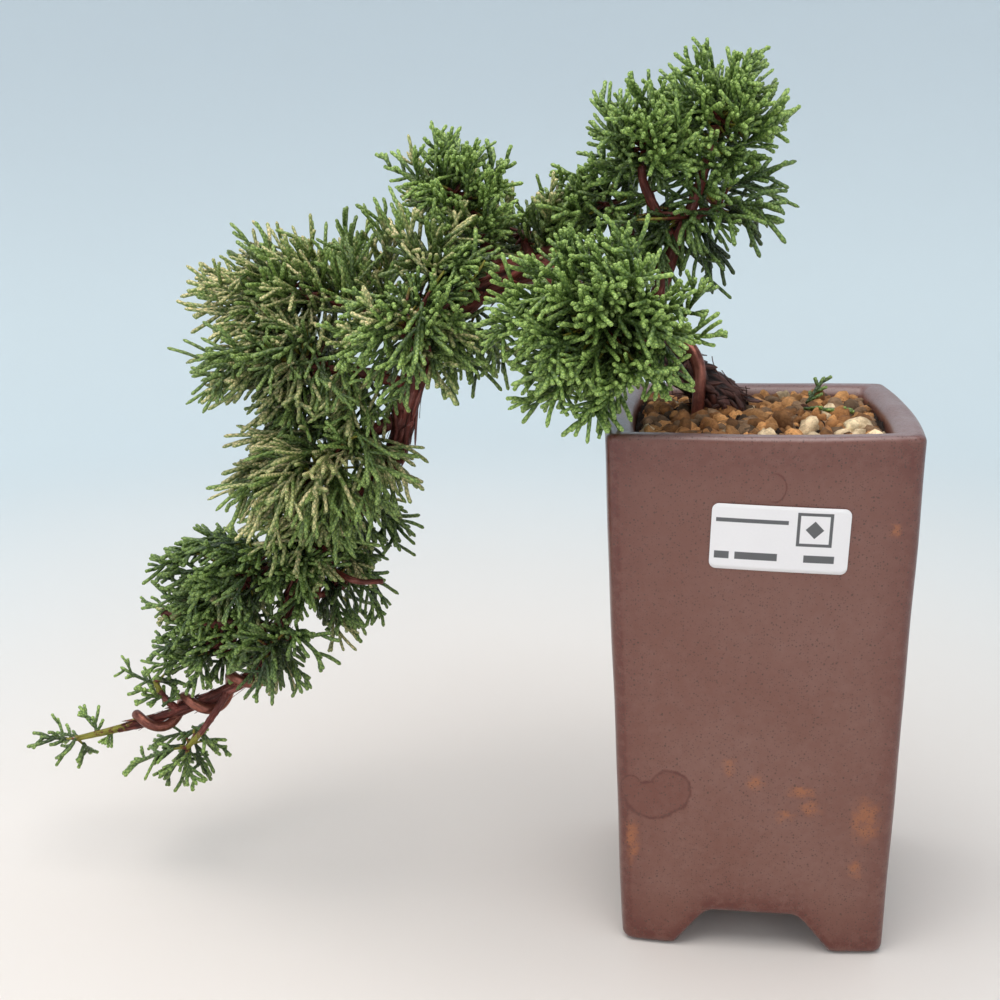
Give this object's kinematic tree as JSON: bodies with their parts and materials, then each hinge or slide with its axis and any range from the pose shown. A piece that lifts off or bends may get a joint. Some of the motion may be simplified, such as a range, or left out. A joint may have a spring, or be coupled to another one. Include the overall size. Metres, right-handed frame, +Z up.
{
  "type": "potted juniper bonsai",
  "caption": "Cascading juniper bonsai with wired trunk and scale-leaf pads in a tall square tapered stoneware pot on four feet.",
  "frame": {"origin": "middle of the bottom face of the whole plant's bounding box, on the surface that the pot stands on", "axes": "+Z up; -Y is the front of the pot, with the label; -X is the side over which the tree cascades"},
  "size_m": [0.306, 0.104, 0.272],
  "materials": {
    "stoneware": "satin",
    "akadama": "matte",
    "pumice": "matte",
    "bark": "matte",
    "twig_bark": "matte",
    "foliage": "matte",
    "training_wire": "satin",
    "staple_wire": "satin",
    "mesh_plastic": "matte",
    "label_paper": "matte"
  },
  "bodies": {
    "root": {"bark_chip": "bark", "centre_branch": "twig_bark", "centre_low_branch": "twig_bark", "crown_branch": "twig_bark", "crown_left_branch": "twig_bark", "crown_low_left_branch": "twig_bark", "crown_low_right_branch": "twig_bark", "cut_stub": "twig_bark", "drainage_mesh": "mesh_plastic", "fallen_sprig_lying": "foliage", "fallen_sprig_standing": "foliage", "foliage_centre": "foliage", "foliage_centre_low": "foliage", "foliage_crown_left": "foliage", "foliage_crown_low_left": "foliage", "foliage_crown_low_right": "foliage", "foliage_crown_right": "foliage", "foliage_front": "foliage", "foliage_left_lower": "foliage", "foliage_left_ridge": "foliage", "foliage_left_upper": "foliage", "foliage_low_left": "foliage", "foliage_low_middle": "foliage", "foliage_low_right": "foliage", "foliage_lower": "foliage", "foliage_lower_back": "foliage", "foliage_mid": "foliage", "foliage_ridge": "foliage", "foliage_ridge_back": "foliage", "foliage_tail": "foliage", "foliage_tip_end": "foliage", "foliage_tip_lower": "foliage", "foliage_tip_upper": "foliage", "front_branch": "twig_bark", "grain_cream_middle": "pumice", "grain_cream_right": "pumice", "grain_ochre_back": "akadama", "grain_ochre_front": "akadama", "grain_tan_left": "pumice", "label": "label_paper", "left_branch": "twig_bark", "left_low_branch": "twig_bark", "low_left_branch": "twig_bark", "low_middle_branch": "twig_bark", "low_right_branch": "twig_bark", "lower_back_branch": "twig_bark", "lower_strand": "twig_bark", "mesh_staple": "staple_wire", "mid_branch": "twig_bark", "pot": "stoneware", "potting_mix": "akadama", "ridge_back_branch": "twig_bark", "ridge_branch": "twig_bark", "side_twig": "twig_bark", "tail_branch": "twig_bark", "tip_low_branch": "twig_bark", "tip_up_branch": "twig_bark", "tip_wire": "training_wire", "trunk": "bark", "trunk_wire": "training_wire"}
  },
  "joints": []
}
